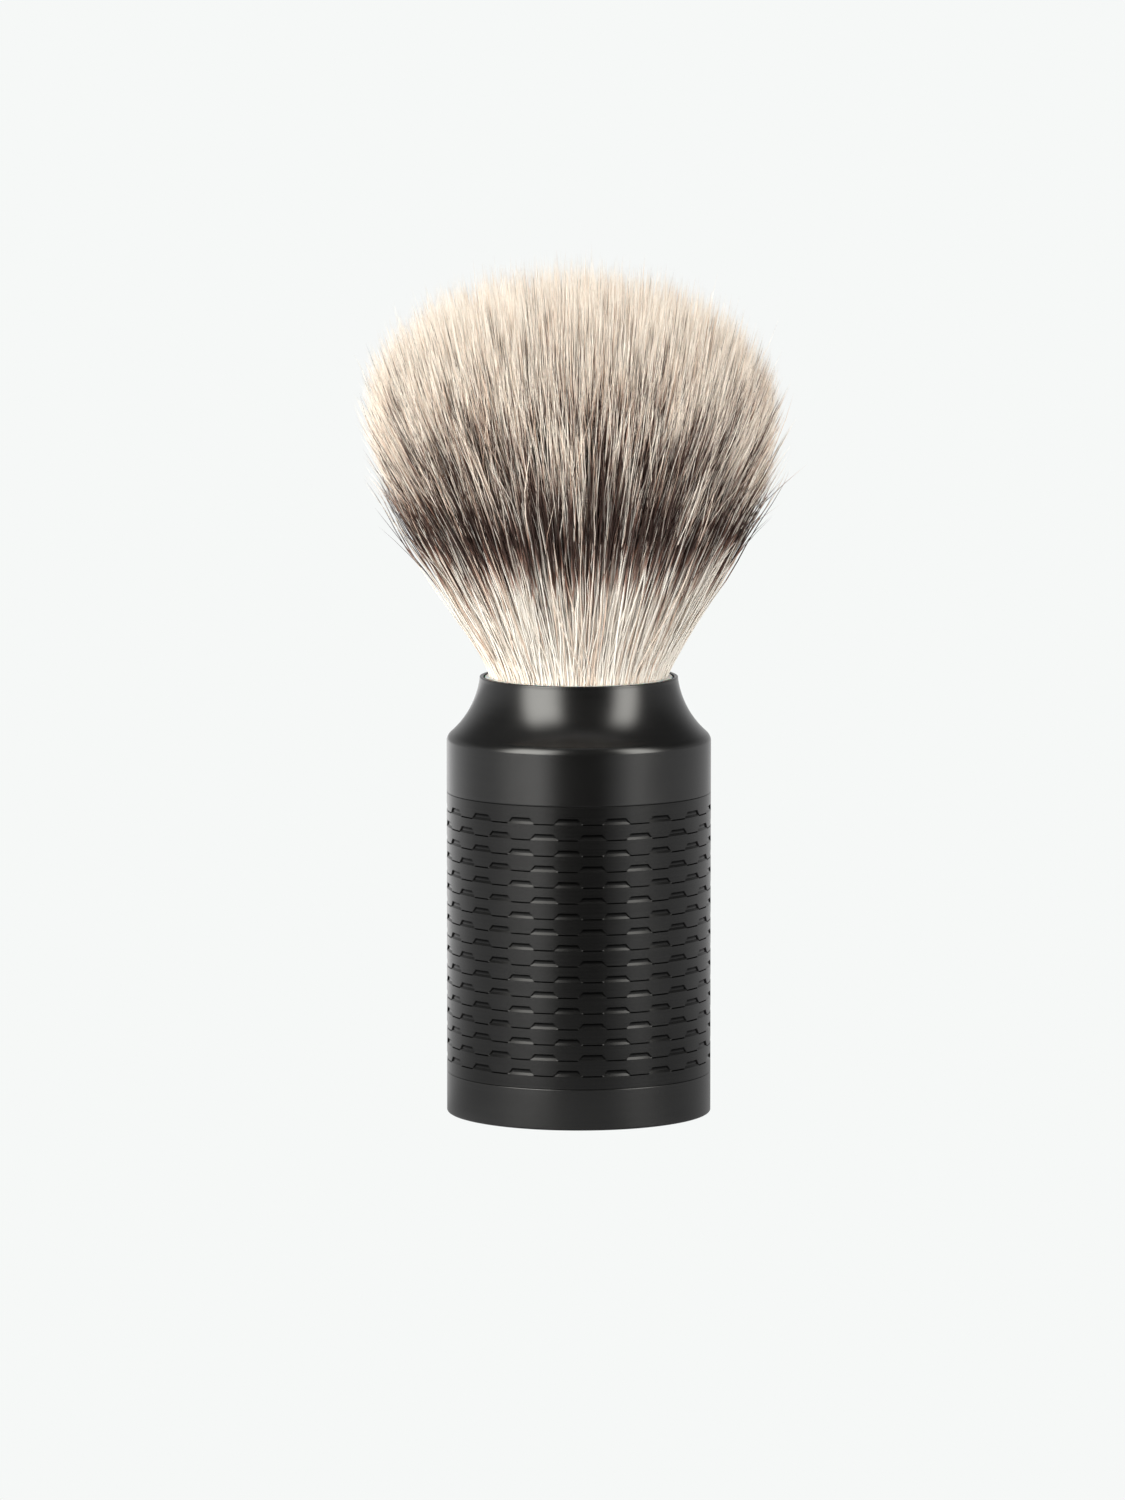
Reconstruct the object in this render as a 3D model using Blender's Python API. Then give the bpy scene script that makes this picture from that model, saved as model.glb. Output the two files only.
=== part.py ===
"""Shaving brush: a screw-in fibre head on a three-part turned steel handle.

Metres, +Z up. The brush stands on Z = 0 and its axis is the Z axis, so the origin is the
centre of its foot. From the bottom up, the handle is a base cap, a textured grip sleeve and a
collar with a waisted neck. A core tube screwed into the cap and the collar clamps the sleeve
between them. The head is a bundle of fibres bound with cord and potted with resin in a plastic
cup, and a bolt through the cup's floor screws the head into an insert in the collar.
"""

import math

import bpy

# ---- Handle, outside ----
HANDLE_R = 0.0150
HANDLE_TOP = 0.04977
BASE_TOP = 0.00464
COLLAR_BOTTOM = 0.03665
FOOT_ROUND = 0.0004
SEAM_CHAMFER = 0.00015
SEAM_GAP = 0.0001

# ---- Collar neck: a hollow curve from the shoulder up to a thin rim ----
RIM_R = 0.01125
NECK_TOP = 0.0495
SHOULDER = (0.01465, 0.04325)
SHOULDER_EDGE_Z = 0.04275
NECK_TOP_SLOPE = math.radians(8)
NECK_STEPS = 7

# ---- Handle, inside ----
FIT = 0.00015
SLEEVE_BORE_R = 0.0130
SPIGOT_R = 0.0127
SPIGOT_CHAMFER = 0.0004
BASE_SPIGOT_TOP = 0.0120
COLLAR_SPIGOT_BOTTOM = 0.0240
BASE_FLOOR = 0.0030
TUBE_R = 0.0090
TUBE_BORE_R = 0.0070
SOCKET_R = 0.0108
SOCKET_FLOOR = 0.0373
WEB_BOTTOM = 0.0310

# ---- Seal rings on the two spigots ----
RING_WIRE_R = 0.00045
RING_GROOVE_R = 0.0119
RING_GROOVE_W = 0.0016
BASE_RING_Z = 0.0077
COLLAR_RING_Z = 0.0336

# ---- Foot pad in a recess under the base ----
PAD_R = 0.0111
PAD_T = 0.00075

# ---- Screw that holds the head: eight millimetres across, coarse pitch ----
PITCH = 0.00125
THREAD_TURNS = 5
THREAD_SEGMENTS = 24
THREAD_START = 0.0306
THREAD_ROOT_R = 0.00330
THREAD_CREST_R = 0.00395
THREAD_ROOT_HALF = 0.000475
THREAD_CREST_HALF = 0.000125
THREAD_PLAY = 0.00012
STUD_BOTTOM = 0.0300
SHANK_BOTTOM = 0.0376
BOLT_HEAD = (0.0400, 0.0428)
BOLT_HEAD_R = 0.0052

# ---- Brass insert held in the collar's web ----
INSERT_R = 0.0066
INSERT_FLANGE_R = 0.0080
INSERT_FLANGE_T = 0.00105

# ---- Brush head ----
CUP_R = 0.01065
CUP_BORE_R = 0.01015
CUP_BOTTOM = 0.0382
CUP_FLOOR = 0.0398
CUP_TOP = 0.04995
CUP_HOLE_R = 0.0042
WASHER_R = (0.0070, 0.0095)
WASHER_T = 0.0006
RESIN_R = 0.0100
RESIN_TOP = 0.0446
RESIN_POCKET_R = 0.0055
BINDING_Z = (0.0454, 0.0474)
BINDING_TURNS = 3
ROOT_WAIST_R = 0.0094
ROOT_LIP_R = 0.01005

# ---- Fibre tuft: a fan that swells from the cup and ends in a soft dome ----
FAN_R = 0.0241
FAN_Z = 0.0780
DOME_RISE = 0.0182
FAN_START = (0.01005, 0.04995)
FAN_START_TURN = math.radians(24)
CROWN_BOTTOM = 0.0555
FLEX_Z = 0.0540
FLEX_R = 0.0120
FLEX_GAP = 0.0003

SEGMENTS = 40
INNER_SEGMENTS = 28


def clear_scene():
    for ob in list(bpy.data.objects):
        bpy.data.objects.remove(ob)


def material(name, colour, roughness, metallic):
    mat = bpy.data.materials.new(name)
    mat.use_nodes = True
    shader = mat.node_tree.nodes["Principled BSDF"]
    shader.inputs["Base Color"].default_value = (*colour, 1.0)
    shader.inputs["Roughness"].default_value = roughness
    shader.inputs["Metallic"].default_value = metallic
    mat.diffuse_color = (*colour, 1.0)
    return mat


def solid(name, verts, faces, mat, location=(0.0, 0.0, 0.0)):
    """One object from points in the world, with its origin at location."""
    mesh = bpy.data.meshes.new(name)
    local = [tuple(p - o for p, o in zip(v, location)) for v in verts]
    mesh.from_pydata(local, [], faces)
    mesh.shade_smooth()
    mesh.set_sharp_from_angle(angle=math.radians(35))
    if mat is not None:
        mesh.materials.append(mat)
    ob = bpy.data.objects.new(name, mesh)
    ob.location = location
    bpy.context.scene.collection.objects.link(ob)
    return ob


def lathe(profile, segments, closed):
    """Points and faces of a profile of (radius, height) pairs turned about Z.

    The profile runs with the material on its left. It ends on the axis, or, if closed, joins
    back to its first point.
    """
    verts = []
    rings = []
    for r, z in profile:
        if r == 0.0:
            rings.append([len(verts)] * segments)
            verts.append((0.0, 0.0, z))
            continue
        rings.append(list(range(len(verts), len(verts) + segments)))
        for k in range(segments):
            a = math.tau * k / segments
            verts.append((r * math.cos(a), r * math.sin(a), z))
    pairs = list(zip(rings, rings[1:]))
    if closed:
        pairs.append((rings[-1], rings[0]))
    faces = []
    for low, high in pairs:
        for k in range(segments):
            n = (k + 1) % segments
            face = list(dict.fromkeys([low[k], low[n], high[n], high[k]]))
            if len(face) > 2:
                faces.append(face)
    return verts, faces


def turned(name, profile, mat, segments=SEGMENTS, closed=True, location=(0.0, 0.0, 0.0)):
    verts, faces = lathe(profile, segments, closed)
    return solid(name, verts, faces, mat, location)


def arc(centre, radius, start, end, steps):
    """Points along an arc, angles counted from +R towards +Z."""
    points = []
    for k in range(steps + 1):
        a = start + (end - start) * k / steps
        points.append((centre[0] + radius * math.cos(a), centre[1] + radius * math.sin(a)))
    return points


def spigot_groove(z, upwards):
    """The four corners of a seal ring's groove in a spigot, in the order it is passed."""
    low = z - RING_GROOVE_W / 2
    high = z + RING_GROOVE_W / 2
    corners = [(SPIGOT_R, low), (RING_GROOVE_R, low), (RING_GROOVE_R, high), (SPIGOT_R, high)]
    return corners if upwards else corners[::-1]


def neck_curve():
    """The hollow neck, from the shoulder up to the rim, as one arc."""
    rise = NECK_TOP - SHOULDER[1]
    narrowing = SHOULDER[0] - RIM_R
    low_slope = 2 * math.atan2(narrowing, rise) - NECK_TOP_SLOPE
    radius = rise / (math.sin(low_slope) - math.sin(NECK_TOP_SLOPE))
    centre = (
        RIM_R + radius * math.cos(NECK_TOP_SLOPE),
        NECK_TOP + radius * math.sin(NECK_TOP_SLOPE),
    )
    return arc(centre, radius, math.pi + low_slope, math.pi + NECK_TOP_SLOPE, NECK_STEPS)


def base_cap(mat):
    recess_r = PAD_R + FIT
    recess_z = PAD_T + FIT
    bore_r = TUBE_R + FIT
    profile = [(0.0, recess_z), (recess_r, recess_z), (recess_r, 0.0)]
    centre = (HANDLE_R - FOOT_ROUND, FOOT_ROUND)
    profile += arc(centre, FOOT_ROUND, -math.pi / 2, 0.0, 3)
    profile += [
        (HANDLE_R, BASE_TOP - SEAM_CHAMFER),
        (HANDLE_R - SEAM_CHAMFER, BASE_TOP),
        (SPIGOT_R, BASE_TOP),
    ]
    profile += spigot_groove(BASE_RING_Z, True)
    profile += [
        (SPIGOT_R, BASE_SPIGOT_TOP - SPIGOT_CHAMFER),
        (SPIGOT_R - SPIGOT_CHAMFER, BASE_SPIGOT_TOP),
        (bore_r, BASE_SPIGOT_TOP),
        (bore_r, BASE_FLOOR),
        (0.0, BASE_FLOOR),
    ]
    turned("base_cap", profile, mat, closed=False)


def foot_pad(mat):
    edge = PAD_R - SEAM_CHAMFER
    profile = [(0.0, 0.0), (edge, 0.0), (PAD_R, SEAM_CHAMFER), (PAD_R, PAD_T), (0.0, PAD_T)]
    turned("foot_pad", profile, mat, closed=False)


def grip_sleeve(mat):
    low = BASE_TOP + SEAM_GAP
    high = COLLAR_BOTTOM - SEAM_GAP
    profile = [
        (SLEEVE_BORE_R, low),
        (HANDLE_R - SEAM_CHAMFER, low),
        (HANDLE_R, low + SEAM_CHAMFER),
        (HANDLE_R, high - SEAM_CHAMFER),
        (HANDLE_R - SEAM_CHAMFER, high),
        (SLEEVE_BORE_R, high),
    ]
    turned("grip_sleeve", profile, mat)


def core_tube(mat):
    low = BASE_FLOOR + FIT
    high = WEB_BOTTOM - FIT - INSERT_FLANGE_T - FIT
    profile = [(TUBE_BORE_R, low), (TUBE_R, low), (TUBE_R, high), (TUBE_BORE_R, high)]
    turned("core_tube", profile, mat, INNER_SEGMENTS)


def seal_ring(name, z, mat):
    """A rubber ring in a spigot's groove, just clear of the groove's floor."""
    centre = (RING_GROOVE_R + SEAM_GAP + RING_WIRE_R, z)
    section = arc(centre, RING_WIRE_R, 0.0, math.tau, 6)[:-1]
    turned(name, section, mat, INNER_SEGMENTS)


def collar(mat):
    bore_r = TUBE_R + FIT
    hole_r = INSERT_R + FIT
    rim = HANDLE_TOP
    profile = [
        (bore_r, COLLAR_SPIGOT_BOTTOM),
        (SPIGOT_R - SPIGOT_CHAMFER, COLLAR_SPIGOT_BOTTOM),
        (SPIGOT_R, COLLAR_SPIGOT_BOTTOM + SPIGOT_CHAMFER),
    ]
    profile += spigot_groove(COLLAR_RING_Z, True)
    profile += [
        (SPIGOT_R, COLLAR_BOTTOM),
        (HANDLE_R - SEAM_CHAMFER, COLLAR_BOTTOM),
        (HANDLE_R, COLLAR_BOTTOM + SEAM_CHAMFER),
        (HANDLE_R, SHOULDER_EDGE_Z),
        (HANDLE_R - SEAM_CHAMFER, SHOULDER_EDGE_Z + SEAM_CHAMFER),
    ]
    profile += neck_curve()
    profile += [
        (RIM_R, rim - SEAM_CHAMFER),
        (RIM_R - SEAM_CHAMFER, rim),
        (SOCKET_R, rim),
        (SOCKET_R, SOCKET_FLOOR),
        (hole_r, SOCKET_FLOOR),
        (hole_r, WEB_BOTTOM),
        (bore_r, WEB_BOTTOM),
    ]
    turned("collar", profile, mat)


def threaded_rod(root_r, crest_r, root_half, crest_half, start, turns, low_z, high_z):
    """Points, faces and end rings of a rod with one helical ridge, open at both ends.

    The ridge is a sweep of four points, root to crest to root. It begins and ends above the
    same point of the circle, each time in a small flat face.
    """
    n = THREAD_SEGMENTS
    steps = n * turns
    verts = []

    def point(r, k, z):
        a = math.tau * k / n
        verts.append((r * math.cos(a), r * math.sin(a), z))
        return len(verts) - 1

    ridge = []
    for k in range(steps + 1):
        z = start + PITCH * k / n
        ridge.append(
            [
                point(root_r, k, z - root_half),
                point(crest_r, k, z - crest_half),
                point(crest_r, k, z + crest_half),
                point(root_r, k, z + root_half),
            ]
        )
    low = [point(root_r, k, low_z) for k in range(n)]
    high = [point(root_r, k, high_z) for k in range(n)]

    faces = [list(ridge[0]), list(reversed(ridge[-1]))]
    for k in range(steps):
        here = ridge[k]
        there = ridge[k + 1]
        for i in range(3):
            faces.append([here[i], there[i], there[i + 1], here[i + 1]])
    for k in range(steps - n):
        faces.append([ridge[k][3], ridge[k + 1][3], ridge[k + 1 + n][0], ridge[k + n][0]])
    for k in range(n - 1):
        faces.append([low[k], low[k + 1], ridge[k + 1][0], ridge[k][0]])
    faces.append([low[-1], low[0], ridge[0][0], ridge[0][3], ridge[n][0], ridge[n - 1][0]])
    last = steps - n
    faces.append(
        [ridge[last][3], ridge[last + 1][3], high[1], high[0], ridge[-1][3], ridge[-1][0]]
    )
    for k in range(1, n):
        faces.append([ridge[last + k][3], ridge[last + k + 1][3], high[(k + 1) % n], high[k]])
    return verts, faces, low, high


def add_ring(verts, faces, ring, r, z, upwards):
    """Carries a rod's end ring on to a new ring, and returns the new one."""
    n = len(ring)
    new = list(range(len(verts), len(verts) + n))
    for k in range(n):
        a = math.tau * k / n
        verts.append((r * math.cos(a), r * math.sin(a), z))
    low, high = (ring, new) if upwards else (new, ring)
    for k in range(n):
        m = (k + 1) % n
        faces.append([low[k], low[m], high[m], high[k]])
    return new


def boolean(ob, cutter, operation):
    cutter.hide_render = True
    cutter.display_type = "WIRE"
    mod = ob.modifiers.new(operation.lower(), "BOOLEAN")
    mod.operation = operation
    mod.solver = "EXACT"
    mod.object = cutter


def threaded_stud(mat):
    """The bolt through the cup's floor: a hexagon head, a plain shank and the thread."""
    verts, faces, low, high = threaded_rod(
        THREAD_ROOT_R,
        THREAD_CREST_R,
        THREAD_ROOT_HALF,
        THREAD_CREST_HALF,
        THREAD_START,
        THREAD_TURNS,
        STUD_BOTTOM + SEAM_CHAMFER / 3,
        SHANK_BOTTOM,
    )
    tip = add_ring(verts, faces, low, THREAD_ROOT_R - SEAM_CHAMFER, STUD_BOTTOM, False)
    faces.append(list(reversed(tip)))
    step = add_ring(verts, faces, high, THREAD_CREST_R, SHANK_BOTTOM + SEAM_CHAMFER, True)
    mid_head = (BOLT_HEAD[0] + BOLT_HEAD[1]) / 2
    top = add_ring(verts, faces, step, THREAD_CREST_R, mid_head, True)
    faces.append(top)
    stud = solid("threaded_stud", verts, faces, mat)
    corner_cut = BOLT_HEAD_R - 2 * SEAM_CHAMFER
    hexagon = [
        (0.0, BOLT_HEAD[0]),
        (BOLT_HEAD_R, BOLT_HEAD[0]),
        (BOLT_HEAD_R, BOLT_HEAD[1] - 2 * SEAM_CHAMFER),
        (corner_cut, BOLT_HEAD[1]),
        (0.0, BOLT_HEAD[1]),
    ]
    boolean(stud, turned("bolt_head_form", hexagon, None, 6, closed=False), "UNION")


def thread_insert(mat):
    """The flanged brass insert, tapped right through with the stud's thread."""
    low = WEB_BOTTOM - FIT - INSERT_FLANGE_T
    high = SOCKET_FLOOR - FIT
    profile = [
        (0.0, low),
        (INSERT_FLANGE_R, low),
        (INSERT_FLANGE_R, WEB_BOTTOM - FIT),
        (INSERT_R, WEB_BOTTOM - FIT),
        (INSERT_R, high - SEAM_CHAMFER),
        (INSERT_R - SEAM_CHAMFER, high),
        (0.0, high),
    ]
    insert = turned("thread_insert", profile, mat, INNER_SEGMENTS, closed=False)
    below = 2
    above = 1
    half_extra = THREAD_PLAY * (THREAD_ROOT_HALF - THREAD_CREST_HALF)
    half_extra /= THREAD_CREST_R - THREAD_ROOT_R
    verts, faces, low_ring, high_ring = threaded_rod(
        THREAD_ROOT_R + THREAD_PLAY,
        THREAD_CREST_R + THREAD_PLAY,
        THREAD_ROOT_HALF + THREAD_PLAY - half_extra,
        THREAD_CREST_HALF + THREAD_PLAY - half_extra,
        THREAD_START - below * PITCH,
        below + THREAD_TURNS + above,
        THREAD_START - (below + 1) * PITCH,
        THREAD_START + (THREAD_TURNS + above + 1) * PITCH,
    )
    faces.append(list(reversed(low_ring)))
    faces.append(high_ring)
    boolean(insert, solid("tap_form", verts, faces, None), "DIFFERENCE")


def head_washer(mat):
    """The flat rubber washer between the cup and the floor of its socket."""
    inner, outer = WASHER_R
    low = (SOCKET_FLOOR + CUP_BOTTOM - WASHER_T) / 2
    high = low + WASHER_T
    profile = [(inner, low), (outer, low), (outer, high), (inner, high)]
    turned("head_washer", profile, mat, INNER_SEGMENTS)


def knot_cup(mat):
    foot = 3 * SEAM_CHAMFER
    lip = SEAM_CHAMFER
    profile = [
        (CUP_HOLE_R, CUP_BOTTOM),
        (CUP_R - foot, CUP_BOTTOM),
        (CUP_R, CUP_BOTTOM + foot),
        (CUP_R, CUP_TOP - lip),
        (CUP_R - lip, CUP_TOP),
        (CUP_BORE_R, CUP_TOP),
        (CUP_BORE_R, CUP_FLOOR),
        (CUP_HOLE_R, CUP_FLOOR),
    ]
    turned("knot_cup", profile, mat)


def resin_plug(mat):
    """The resin under the fibres, cast round the bolt's head."""
    low = CUP_FLOOR + FIT
    pocket_top = BOLT_HEAD[1] + FIT
    profile = [
        (0.0, pocket_top),
        (RESIN_POCKET_R, pocket_top),
        (RESIN_POCKET_R, low),
        (RESIN_R, low),
        (RESIN_R, RESIN_TOP),
        (0.0, RESIN_TOP),
    ]
    turned("resin_plug", profile, mat, INNER_SEGMENTS, closed=False)


def knot_binding(mat):
    """The cord wound round the fibre roots, as a band with one bead for each turn."""
    low, high = BINDING_Z
    cord_r = (high - low) / BINDING_TURNS / 2
    inner = ROOT_WAIST_R + FIT
    bead_r = RESIN_R - cord_r
    profile = [(inner, low)]
    for k in range(BINDING_TURNS):
        centre = (bead_r, low + cord_r * (2 * k + 1))
        profile += arc(centre, cord_r, -math.pi / 3, math.pi / 3, 2)
    profile.append((inner, high))
    turned("knot_binding", profile, mat, INNER_SEGMENTS)


def fan_radius(z):
    """The tuft's outer radius: a smooth swell from the cup's lip up to its widest height."""
    r0, z0 = FAN_START
    t = (z - z0) / (FAN_Z - z0)
    span = FAN_Z - z0
    lead = math.tan(FAN_START_TURN) * span
    swell = FAN_R - r0
    # a cubic in t, with the cup's slope at the start and an upright wall at the end
    return r0 + lead * t + (3 * swell - 2 * lead) * t**2 + (lead - 2 * swell) * t**3


def fan_outline(low, high, steps):
    points = []
    for k in range(steps + 1):
        z = low + (high - low) * k / steps
        points.append((fan_radius(z), z))
    return points


def fibre_root(mat):
    """The lower, stiff part of the tuft. Its top is a ball about the point the tuft bends at."""
    low = RESIN_TOP + FIT
    waist_top = BINDING_Z[1] + FIT
    profile = [(0.0, low), (ROOT_WAIST_R, low), (ROOT_WAIST_R, waist_top)]
    profile.append((ROOT_LIP_R, (waist_top + CUP_TOP) / 2))
    edge = FLEX_Z
    while math.hypot(fan_radius(edge), edge - FLEX_Z) > FLEX_R:
        edge -= SEAM_GAP
    profile += fan_outline(CUP_TOP, edge, 3)
    start = math.atan2(edge - FLEX_Z, fan_radius(edge))
    dome = arc((0.0, FLEX_Z), FLEX_R, start, math.pi / 2, 7)
    profile += dome[1:-1]
    profile.append((0.0, FLEX_Z + FLEX_R))
    turned("fibre_root", profile, mat, INNER_SEGMENTS, closed=False)


def fibre_crown(mat):
    """The tuft's upper part, hollowed below so that it can sway over the root's ball."""
    radius = FLEX_R + FLEX_GAP
    low_turn = math.asin((CROWN_BOTTOM - FLEX_Z) / radius)
    hollow = arc((0.0, FLEX_Z), radius, math.pi / 2, low_turn, 7)
    profile = [(0.0, FLEX_Z + radius)]
    profile += hollow[1:]
    profile += fan_outline(CROWN_BOTTOM, FAN_Z, 8)
    for k in range(1, 7):
        a = math.pi / 2 * k / 7
        profile.append((FAN_R * math.cos(a), FAN_Z + DOME_RISE * math.sin(a)))
    profile.append((0.0, FAN_Z + DOME_RISE))
    pivot = (0.0, 0.0, FLEX_Z)
    turned("fibre_crown", profile, mat, INNER_SEGMENTS, closed=False, location=pivot)


def build():
    clear_scene()
    black_steel = material("black_steel", (0.035, 0.035, 0.033), 0.35, 0.9)
    sleeve_steel = material("sleeve_steel", (0.030, 0.030, 0.028), 0.40, 0.9)
    aluminium = material("tube_aluminium", (0.72, 0.73, 0.74), 0.4, 1.0)
    brass = material("brass", (0.78, 0.60, 0.28), 0.3, 1.0)
    rubber = material("rubber", (0.03, 0.03, 0.03), 0.75, 0.0)
    cup_plastic = material("cup_plastic", (0.78, 0.79, 0.76), 0.35, 0.0)
    resin = material("resin", (0.80, 0.70, 0.48), 0.2, 0.0)
    cord = material("binding_cord", (0.70, 0.66, 0.58), 0.85, 0.0)
    root_fibre = material("root_fibre", (0.84, 0.73, 0.62), 0.6, 0.0)
    crown_fibre = material("crown_fibre", (0.62, 0.52, 0.45), 0.6, 0.0)

    foot_pad(rubber)
    base_cap(black_steel)
    seal_ring("lower_seal_ring", BASE_RING_Z, rubber)
    core_tube(aluminium)
    grip_sleeve(sleeve_steel)
    seal_ring("upper_seal_ring", COLLAR_RING_Z, rubber)
    collar(black_steel)
    thread_insert(brass)
    head_washer(rubber)
    threaded_stud(brass)
    knot_cup(cup_plastic)
    resin_plug(resin)
    knot_binding(cord)
    fibre_root(root_fibre)
    fibre_crown(crown_fibre)


build()
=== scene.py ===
"""Looks of the shaving brush: a black turned handle and a head of some thousands of fibres.

Lengths are in metres unless a comment says otherwise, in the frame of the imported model: Z up,
the brush standing on Z = 0, and the viewer at -Y.
The turned parts of the handle are remade finely, with the grip's stepped grooves cut as real
geometry, and the tuft's two plain solids are replaced by single tapered fibres.
"""

import math

import bpy
import numpy as np
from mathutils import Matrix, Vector

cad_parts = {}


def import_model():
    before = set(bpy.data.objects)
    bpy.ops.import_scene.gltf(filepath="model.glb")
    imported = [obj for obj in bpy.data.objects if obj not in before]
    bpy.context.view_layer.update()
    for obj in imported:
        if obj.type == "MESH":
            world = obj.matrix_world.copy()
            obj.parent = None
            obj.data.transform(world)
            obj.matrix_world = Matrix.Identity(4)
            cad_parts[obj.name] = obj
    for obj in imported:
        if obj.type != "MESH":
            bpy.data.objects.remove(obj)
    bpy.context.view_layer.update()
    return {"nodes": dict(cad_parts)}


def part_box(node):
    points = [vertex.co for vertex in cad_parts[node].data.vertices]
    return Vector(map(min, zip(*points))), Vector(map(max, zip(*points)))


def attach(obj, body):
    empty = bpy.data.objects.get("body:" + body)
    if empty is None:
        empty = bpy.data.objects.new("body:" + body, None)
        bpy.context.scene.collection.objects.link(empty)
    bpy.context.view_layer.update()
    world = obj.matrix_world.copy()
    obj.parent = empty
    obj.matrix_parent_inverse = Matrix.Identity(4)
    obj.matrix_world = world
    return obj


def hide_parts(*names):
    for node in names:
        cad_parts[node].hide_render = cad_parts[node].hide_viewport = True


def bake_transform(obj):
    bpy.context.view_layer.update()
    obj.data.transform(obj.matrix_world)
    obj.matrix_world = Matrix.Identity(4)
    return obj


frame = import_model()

MM = 0.001
WHITE = (1.0, 1.0, 1.0)

# ---- Heights and radii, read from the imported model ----
HANDLE_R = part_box("grip_sleeve")[1].x
SLEEVE_LOW, SLEEVE_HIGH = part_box("grip_sleeve")[0].z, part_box("grip_sleeve")[1].z
RIM_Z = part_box("collar")[1].z
LIP_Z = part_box("knot_cup")[1].z
CUP_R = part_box("knot_cup")[1].x
TIP_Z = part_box("fibre_crown")[1].z

# ---- Turned parts: the CAD's gap at each seam is closed to a hairline ----
ROUND_STEPS = 224
LONG_SIDE = 0.6 * MM
SUPPORT = 0.06 * MM
SEAM_GAP = 0.1 * MM
HAIRLINE = 0.012 * MM
BASE_TOP = SLEEVE_LOW - SEAM_GAP
COLLAR_LOW = SLEEVE_HIGH + SEAM_GAP
GRIP_LOW = BASE_TOP + HAIRLINE
GRIP_HIGH = COLLAR_LOW - HAIRLINE
SLEEVE_BORE_R = 13.0 * MM
SPIGOT_R = 12.7 * MM
TUBE_SEAT_R = 9.15 * MM
INSERT_SEAT_R = 6.75 * MM
INSERT_SEAT_LOW = 31.0 * MM
WASHER_SPACE = 0.9 * MM
RIM_R = 11.25 * MM
RIM_BORE_R = 10.8 * MM
SHOULDER_R = 14.65 * MM
SHOULDER_Z = 43.25 * MM
SHOULDER_EDGE_Z = 42.5 * MM
NECK_TOP = 49.5 * MM
NECK_TOP_SLOPE = math.radians(8)
FOOT_RECESS_R = 11.25 * MM
FOOT_RECESS_TALL = 0.9 * MM
BASE_FLOOR_Z = 3.0 * MM
CENTRE_R = 0.05 * MM

# ---- Grip: rows of a fine slit, with a stepped row of shallow pockets cut along its upper side ----
GRIP_ROWS = 17
GRIP_PERIODS = 17
GRIP_FIRST_Z = 6.1 * MM
GRIP_PITCH = 1.78 * MM
GRIP_LOW_SHARE = 0.396
GRIP_SLOPE_SHARE = 0.108
GRIP_PHASE = math.radians(-4.7)
SLIT_LEDGE = 0.05 * MM
SLIT_TALL = 0.09 * MM
SLIT_DEPTH = 0.095 * MM
POCKET_TALL = 0.72 * MM
POCKET_DEPTH = 0.16 * MM
POCKET_WALL = 0.15 * MM
POCKET_RAMP = math.tan(math.radians(31))

# ---- Fibres ----
SEED = 21
FIBRES = 24000
LOCKS = 12
TUFTS = 1100
FIBRE_POINTS = 13
FIBRE_SIDES = 3
FIBRE_R = 0.085 * MM
FIBRE_R_SPREAD = 0.14
TAPER_FROM = 0.55
TAPER_SPAN = 0.45
TAPER_BY = 0.86
ROOT_Z = 47.6 * MM
ROOT_R = 9.95 * MM
FAN_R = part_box("fibre_crown")[1].x - 0.7 * MM
FAN_Z = 77.5 * MM
FAN_START_SLOPE = math.tan(math.radians(25))
FAN_END_SLOPE = math.tan(math.radians(25))
FAN_EASE = 12.0 * MM
FAN_LEAN = 1.1 * MM
TIP_TURN = math.radians(103)
DOME_POWER = 0.78

# ---- Fibres' lengths: from OUTER_FROM of the tuft's radius they count as outer ones ----
OUTER_FROM = 0.8
OUTER_SPAN = 0.2
LENGTH_MEAN = 0.002
LENGTH_SPREAD = 0.017
SHORT_OFTEN = 0.5
SHORT_MOST = 0.42

# ---- Fibres' leans and bows, spread in millimetres: more in a loose fibre ----
LOOSE_OFTEN = 0.12
LOOSE_OUTER = 0.12
LOOSE_BY = 2.6
TUFT_LEAN_OUT = 0.55
TUFT_LEAN_SIDE = 0.9
LEAN_OUT = 0.5
LEAN_SIDE = 0.75
BOW_OUT = 0.4
BOW_SIDE = 0.65
RIPPLE = 0.14
RIPPLE_TURNS = (1.2, 3.2)
STRAY_OFTEN = 0.38
STRAY_REACH = 1.0
TUFT_PULL = (0.1, 0.6)

# ---- Fibres' dark band, in millimetres along the fibre from the cup's lip ----
BAND_START = 13.9
BAND_START_SPREAD = 2.1
BAND_START_TUFTS = 1.8
BAND_END = 24.8
BAND_END_AHEAD = 5.0
BAND_END_OUTER = 4.2
BAND_END_SPREAD = 2.8
BAND_END_TUFTS = 4.0
BAND_LATE_OFTEN = 0.34
BAND_LATE_OUTER = 0.22
BAND_LATE_BY = (2, 16)
BAND_MIDDLE = 19.0
UNDYED_OFTEN = 0.22
UNDYED_DYE = (0.1, 0.75)
TONE_TUFTS = 0.28

# ---- Camera ----
CAMERA_AT = (-1.85 * MM, -1.0, 162.3 * MM)
CAMERA_DOWN = math.radians(6.9)
LENS_MM = 213.1
SENSOR_MM = 36.0
PAPER = (0.922, 0.939, 0.930)

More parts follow.
